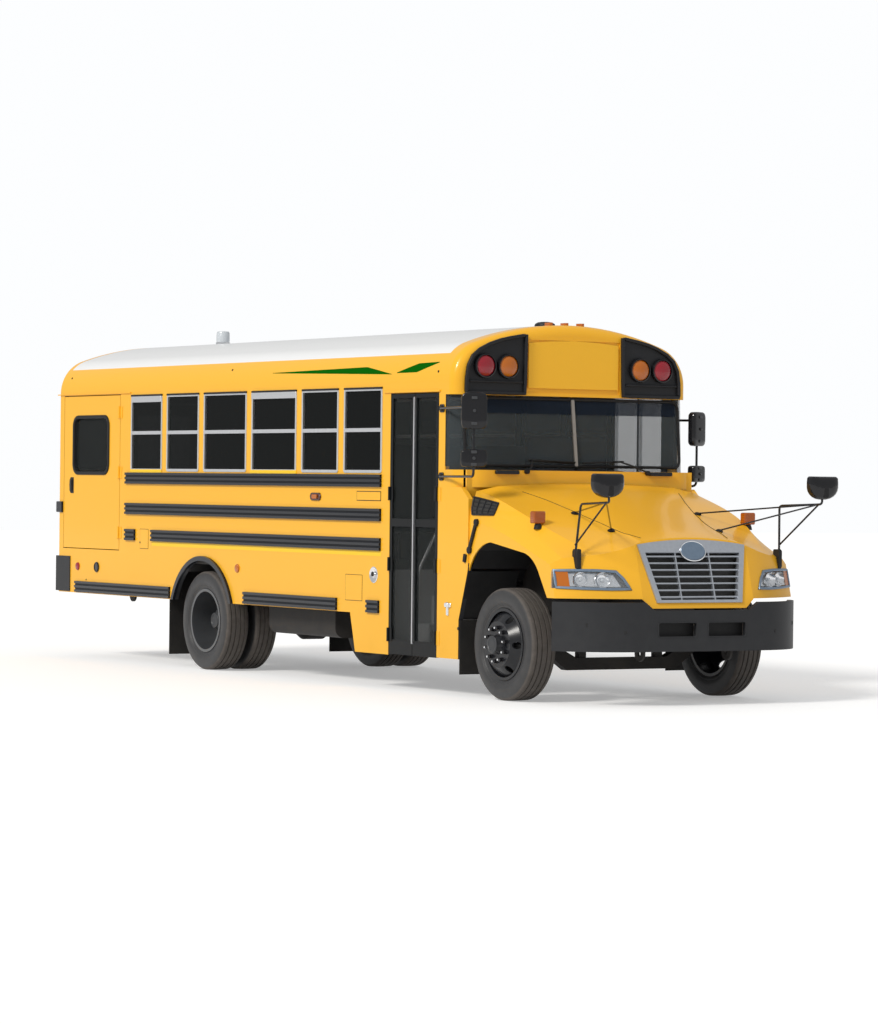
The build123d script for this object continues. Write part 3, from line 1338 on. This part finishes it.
with BuildPart() as steering_wheel:
    wheel_plane = column_plane.offset(column_length - column_radius + seat_gap)
    ring_plane = Plane(origin=wheel_plane.origin + column_way * wheel_rim_radius, x_dir=wheel_plane.x_dir,
                       z_dir=wheel_plane.y_dir)
    with BuildSketch(ring_plane):
        with Locations((wheel_ring_radius - wheel_rim_radius, 0)):
            RegularPolygon(wheel_rim_radius, wheel_rim_sides, major_radius=False)
    revolve(axis=Axis(wheel_plane.origin, column_way))
    with BuildSketch(wheel_plane):
        Circle(2 * column_radius)
        Rectangle(spoke_width, 2 * (wheel_ring_radius - wheel_rim_radius))
        Rectangle(2 * (wheel_ring_radius - wheel_rim_radius), spoke_width)
    extrude(amount=spoke_thickness)
steering_wheel.part.label = "steering_wheel"
export_step(steering_wheel.part, "parts/steering_wheel.step")

# Lift door: one panel as thick as the wall, with a window cut, hinged on its front edge
lift_window_front_setback = 7522
lift_window_rear_setback = 8310
lift_window_bottom_z = 1906
lift_window_top_z = 2457
lift_window_corner = 90
lift_window_x = front_axle_x - (lift_window_front_setback + lift_window_rear_setback) / 2
lift_window_z = (lift_window_bottom_z + lift_window_top_z) / 2
lift_window_width = lift_window_rear_setback - lift_window_front_setback
lift_window_height = lift_window_top_z - lift_window_bottom_z
with BuildPart() as lift_door:
    with BuildSketch(side_plane(-half_width)):
        with Locations((lift_middle_x, lift_middle_z)):
            Rectangle(lift_width - 2 * door_gap, lift_height - 2 * door_gap)
        with Locations((lift_window_x, lift_window_z)):
            RectangleRounded(lift_window_width, lift_window_height, lift_window_corner, mode=Mode.SUBTRACT)
    extrude(amount=-wall)
    hinge_half(lift_front_x - door_gap, hinge_axis_y, (-1, 0, 0), -1, lift_hinge_heights, True)
lift_door.part.label = "lift_door"
export_step(lift_door.part, "parts/lift_door.step")

door_glass_thickness = 6
with BuildPart() as lift_door_glass:
    with BuildSketch(side_plane(-half_width + wall / 2)):
        with Locations((lift_window_x, lift_window_z)):
            RectangleRounded(lift_window_width - 2 * seat_gap, lift_window_height - 2 * seat_gap, lift_window_corner)
    extrude(amount=door_glass_thickness)
lift_door_glass.part.label = "lift_door_glass"
export_step(lift_door_glass.part, "parts/lift_door_glass.step")

# Rear emergency door: upper and lower windows, hinged on the bus's right
rear_panel_width = rear_door_width - 2 * door_gap
rear_panel_height = rear_door_top_z - rear_door_bottom_z - 2 * door_gap
rear_panel_z = (rear_door_top_z + rear_door_bottom_z) / 2
rear_light_width = 640
rear_upper_light = (2230, 560)
rear_lower_light = (1560, 430)
with BuildPart() as rear_door:
    with BuildSketch(cross_plane(body_rear_x)):
        with Locations((0, rear_panel_z)):
            Rectangle(rear_panel_width, rear_panel_height)
        for z, height in (rear_upper_light, rear_lower_light):
            with Locations((0, z)):
                RectangleRounded(rear_light_width, height, window_corner, mode=Mode.SUBTRACT)
    extrude(amount=wall)
    hinge_half(rear_axis_x, rear_axis_y, (0, 1, 0), -1, rear_hinge_heights, True)
rear_door.part.label = "rear_door"
export_step(rear_door.part, "parts/rear_door.step")

with BuildPart() as rear_door_glass:
    with BuildSketch(cross_plane(body_rear_x + wall / 2)):
        for z, height in (rear_upper_light, rear_lower_light):
            with Locations((0, z)):
                RectangleRounded(rear_light_width - 2 * seat_gap, height - 2 * seat_gap, window_corner)
    extrude(amount=door_glass_thickness)
rear_door_glass.part.label = "rear_door_glass"
export_step(rear_door_glass.part, "parts/rear_door_glass.step")

# Entrance door: two glazed leaves that open outwards, each hinged at its outer edge
leaf_height = door_head_z - step_skirt_z - 2 * door_gap
leaf_count = 2
leaf_width = (door_width - (leaf_count + 1) * door_gap) / leaf_count
leaf_middle_z = (door_head_z + step_skirt_z) / 2
leaf_frame = 38
leaf_kick = 130
leaf_band_z = 1480
leaf_band_height = 70
leaf_depth = 36
leaf_names = ((-1, "rear", door_rear_x), (1, "front", pillar_x))
upper_light_top = door_head_z - door_gap - leaf_frame
upper_light_bottom = leaf_band_z + leaf_band_height / 2
lower_light_top = leaf_band_z - leaf_band_height / 2
lower_light_bottom = step_skirt_z + door_gap + leaf_kick
entry_lights = [(upper_light_top, upper_light_bottom), (lower_light_top, lower_light_bottom)]
for side, leaf_name, edge_x in leaf_names:
    leaf_x = edge_x - side * (door_gap + leaf_width / 2)
    with BuildPart() as leaf:
        with BuildSketch(side_plane(-half_width)):
            with Locations((leaf_x, leaf_middle_z)):
                Rectangle(leaf_width, leaf_height)
            for top_z, bottom_z in entry_lights:
                with Locations((leaf_x, (top_z + bottom_z) / 2)):
                    Rectangle(leaf_width - 2 * leaf_frame, top_z - bottom_z, mode=Mode.SUBTRACT)
        extrude(amount=-leaf_depth)
        hinge_half(edge_x - side * door_gap, hinge_axis_y, (-side, 0, 0), -side, entry_hinge_heights, True)
    leaf.part.label = "entry_leaf_" + leaf_name
    export_step(leaf.part, f"parts/entry_leaf_{leaf_name}.step")
    with BuildPart() as glass:
        with BuildSketch(side_plane(-half_width + leaf_depth / 2)):
            for top_z, bottom_z in entry_lights:
                with Locations((leaf_x, (top_z + bottom_z) / 2)):
                    Rectangle(leaf_width - 2 * leaf_frame, top_z - bottom_z)
        extrude(amount=door_glass_thickness)
    glass.part.label = "entry_glass_" + leaf_name
    export_step(glass.part, f"parts/entry_glass_{leaf_name}.step")

# Stop arm: an eight-sided blade folded flat on the left side, on a hinge bracket at its front
stop_size = 457
stop_sides = 8
half_turn = 180
stop_hinge_share = 0.25
stop_thickness = 8
stop_z = 1695
stop_front_setback = 2080
stop_stand_off = 40
stop_bracket_width = 60
stop_bracket_height = 180
stop_axis_x = front_axle_x - stop_front_setback
stop_axis_y = half_width + stop_stand_off
with BuildPart() as stop_arm:
    with BuildSketch(side_plane(stop_axis_y + stop_thickness / 2)):
        with Locations((stop_axis_x - stop_bracket_width - stop_size / 2, stop_z)):
            RegularPolygon(stop_size / 2, stop_sides, major_radius=False, rotation=half_turn / stop_sides)
        with Locations((stop_axis_x - stop_bracket_width, stop_z)):
            Rectangle(2 * stop_bracket_width, stop_bracket_height / 2)
    extrude(amount=stop_thickness)
    with BuildSketch(Plane.XY.offset(stop_z - stop_hinge_share * stop_bracket_height)):
        with Locations((stop_axis_x, stop_axis_y)):
            Circle(hinge_radius)
    extrude(amount=stop_bracket_height / 2)
stop_arm.part.label = "stop_arm"
export_step(stop_arm.part, "parts/stop_arm.step")
with BuildPart() as stop_bracket:
    with BuildSketch(Plane.XY.offset(stop_z - stop_bracket_height / 2)):
        with Locations((stop_axis_x, (half_width + stop_axis_y + hinge_radius) / 2)):
            Rectangle(stop_bracket_width, stop_axis_y + hinge_radius - half_width)
    extrude(amount=stop_bracket_height)
    with BuildSketch(Plane.XY.offset(stop_z - stop_hinge_share * stop_bracket_height - seat_gap)):
        with Locations((stop_axis_x, half_width + stop_bracket_width)):
            Rectangle(2 * stop_bracket_width, 2 * (stop_bracket_width - hinge_radius))
    extrude(amount=stop_bracket_height / 2 + 2 * seat_gap, mode=Mode.SUBTRACT)
stop_bracket.part.label = "stop_bracket"
export_step(stop_bracket.part, "parts/stop_bracket.step")

# Warning lamps over the windshield and over the rear door: red outside, amber inside
warning_radius = 89
warning_depth = 30
warning_z = 2851
red_lamp_y = 924
amber_lamp_y = 689
rear_warning_z = 2835
tail_lamp_radius = 90
tail_lamp_z = 1330
tail_lamp_y = 1010
tail_amber_z = 1136
marker_length = 90
marker_height = 38
marker_depth = 22
marker_round_share = 0.33
roof_marker_setback = 830
roof_marker_pitch = 165
side_marker_setback = 3187
side_marker_z = 1696
lamp_seat = 0.3
rear_marker_pitch = 165
rear_marker_z = 3080
with BuildPart() as red_lamps:
    with BuildSketch(cross_plane(cap_face_x + lamp_seat)):
        with Locations((-red_lamp_y, warning_z), (red_lamp_y, warning_z)):
            Circle(warning_radius)
    extrude(amount=warning_depth)
    with BuildSketch(cross_plane(body_rear_x - lamp_seat)):
        with Locations((-red_lamp_y, rear_warning_z), (red_lamp_y, rear_warning_z)):
            Circle(warning_radius)
        with Locations((-tail_lamp_y, tail_lamp_z), (tail_lamp_y, tail_lamp_z)):
            Circle(tail_lamp_radius)
        for i in (-1, 0, 1):
            with Locations((i * rear_marker_pitch, rear_marker_z)):
                Rectangle(marker_length, marker_height)
    extrude(amount=-warning_depth)
red_lamps.part.label = "red_lamps"
export_step(red_lamps.part, "parts/red_lamps.step")

with BuildPart() as amber_lamps:
    with BuildSketch(cross_plane(cap_face_x + lamp_seat)):
        with Locations((-amber_lamp_y, warning_z), (amber_lamp_y, warning_z)):
            Circle(warning_radius)
    extrude(amount=warning_depth)
    with BuildSketch(cross_plane(body_rear_x - lamp_seat)):
        with Locations((-amber_lamp_y, rear_warning_z), (amber_lamp_y, rear_warning_z)):
            Circle(warning_radius)
        with Locations((-tail_lamp_y, tail_amber_z), (tail_lamp_y, tail_amber_z)):
            Circle(tail_lamp_radius)
    extrude(amount=-warning_depth)
    for side in (-1, 1):
        with BuildSketch(side_plane(side * (half_width + lamp_seat))):
            with Locations((front_axle_x - side_marker_setback, side_marker_z)):
                RectangleRounded(marker_length, marker_height, marker_round_share * marker_height)
        extrude(amount=-side * marker_depth)
    with BuildSketch(Plane.XY.offset(roof_crown_z - marker_height)):
        for i in (-1, 0, 1):
            with Locations((front_axle_x - roof_marker_setback - marker_length, i * roof_marker_pitch)):
                RectangleRounded(marker_length, marker_height, marker_round_share * marker_height)
    extrude(amount=marker_height + marker_depth)
    add(front_cap.part, mode=Mode.SUBTRACT)
    with BuildSketch(Plane.XY.offset(roof_crown_z - wall - marker_height)):
        Rectangle(2 * front_axle_x, half_width)
    extrude(amount=wall, mode=Mode.SUBTRACT)
amber_lamps.part.label = "amber_lamps"
export_step(amber_lamps.part, "parts/amber_lamps.step")

# Roof fittings: a low dark dome at the front and a clear flashing light near the back
dome_setback = 1238
dome_radius = 94
dome_height = 44
strobe_setback = 7364
strobe_radius = 74
strobe_height = 140
beacon_taper = 12
with BuildPart() as roof_beacons:
    for setback, radius, height in ((dome_setback, dome_radius, dome_height),
                                    (strobe_setback, strobe_radius, strobe_height)):
        with BuildSketch(Plane.XY.offset(roof_crown_z + lamp_seat)):
            with Locations((front_axle_x - setback, 0)):
                Circle(radius)
        extrude(amount=height, taper=beacon_taper)
roof_beacons.part.label = "roof_beacons"
export_step(roof_beacons.part, "parts/roof_beacons.step")

# Side mirrors: a bent tube on two feet, with a flat head over a small convex one.
# Columns: side, tube setback, drop of the feet, drop of the heads
mirror_tube_radius = 11
mirror_head_width = 222
mirror_head_height = 310
mirror_head_depth = 70
mirror_small_height = 150
mirror_turn = 27
mirror_foot_setback = 962
mirror_foot_size = 70
mirror_foot_thickness = 8
right_tube_setback = 203
left_tube_setback = 820
mirror_tube_y = 1365
mirror_flat_z = 2448
mirror_convex_z = 2046
mirror_left_drop = 60
mirror_left_head_drop = 105
mirror_boss_share = 1.5
mirror_round_share = 0.33
mirror_feet = (1890, 2480)
mirror_table = [(-1, right_tube_setback, 0, 0), (1, left_tube_setback, mirror_left_drop, mirror_left_head_drop)]
mirror_boss = mirror_foot_thickness + mirror_boss_share * mirror_tube_radius
with BuildPart() as side_mirrors:
    for side, tube_setback, drop, head_drop in mirror_table:
        tube_x = front_axle_x - tube_setback
        foot_x = front_axle_x - mirror_foot_setback
        tube_y = side * mirror_tube_y
        skin_y = side * (half_width + mirror_boss)
        low, high = mirror_feet[0] - drop, mirror_feet[1] - drop
        route = [(foot_x, skin_y, high), (tube_x, tube_y, high), (tube_x, tube_y, low), (foot_x, skin_y, low)]
        for start, end in zip(route, route[1:]):
            run = Vector(*end) - Vector(*start)
            with BuildSketch(Plane(origin=start, z_dir=run)):
                Circle(mirror_tube_radius)
            extrude(amount=run.length)
        for corner in route[1:3]:
            with Locations(corner):
                Sphere(mirror_tube_radius)
        with BuildSketch(side_plane(side * (half_width + seat_gap))):
            with Locations((foot_x, low), (foot_x, high)):
                Rectangle(mirror_foot_size, mirror_foot_size)
        extrude(amount=-side * mirror_boss)
        for head_z, head_height in ((mirror_flat_z - head_drop, mirror_head_height),
                                    (mirror_convex_z - head_drop, mirror_small_height)):
            head_plane = Plane(origin=(tube_x, tube_y, head_z - head_height / 2), z_dir=(0, 0, 1),
                               x_dir=(cos(radians(mirror_turn)), side * sin(radians(mirror_turn)), 0))
            with BuildSketch(head_plane):
                RectangleRounded(mirror_head_depth, mirror_head_width, mirror_round_share * mirror_head_depth)
            extrude(amount=head_height)
side_mirrors.part.label = "side_mirrors"
export_step(side_mirrors.part, "parts/side_mirrors.step")

# Cross-view mirrors on the hood: a wide domed head on a post with two struts.
# Columns: reach, inset from the hood's side, z of each joint of the tube frame
cross_tube_radius = 10
cross_head = (1446, 119, 1830)
cross_head_width = 290
cross_head_height = 200
cross_head_depth = 90
cross_post_top = (921, 194, 1672)
cross_post_foot = (885, 166, 1290)
cross_strut_foot = (623, 382, 1552)
cross_foot_reach = 200
cross_pad_depth = 80
cross_pad_width = 50
cross_pad_height = 160
cross_pad_centre = (879, 199, 1218)
cross_runs = [(cross_post_foot, cross_post_top), (cross_post_top, cross_head), (cross_strut_foot, cross_head),
              (cross_post_foot, cross_head)]


def cross_point(place, side):
    """A joint of the cross mirrors' tube frame on one side of the bus."""
    return Vector(front_axle_x + place[0], side * (hood_half_width - place[1]), place[2])


with BuildPart() as cross_mirrors:
    for side in (-1, 1):
        for start, end in cross_runs:
            first = cross_point(start, side)
            run = cross_point(end, side) - first
            with BuildSketch(Plane(origin=first, z_dir=run)):
                Circle(cross_tube_radius)
            extrude(amount=run.length)
        for foot, top in ((cross_post_foot, cross_post_top), (cross_strut_foot, cross_head)):
            first = cross_point(foot, side)
            run = first - cross_point(top, side)
            with BuildSketch(Plane(origin=first, z_dir=run)):
                Circle(cross_tube_radius)
            extrude(amount=cross_foot_reach)
        with Locations(cross_point(cross_pad_centre, side)):
            Box(cross_pad_depth, cross_pad_width, cross_pad_height)
        with Locations(cross_point(cross_post_top, side)):
            Sphere(cross_tube_radius)
        with BuildSketch(cross_plane(front_axle_x + cross_head[0] - cross_head_depth / 2)):
            with Locations((side * (hood_half_width - cross_head[1]), cross_head[2])):
                Ellipse(cross_head_width / 2, cross_head_height / 2)
        extrude(amount=cross_head_depth)
    add(hood_form(-seat_gap), mode=Mode.SUBTRACT)
cross_mirrors.part.label = "cross_mirrors"
export_step(cross_mirrors.part, "parts/cross_mirrors.step")
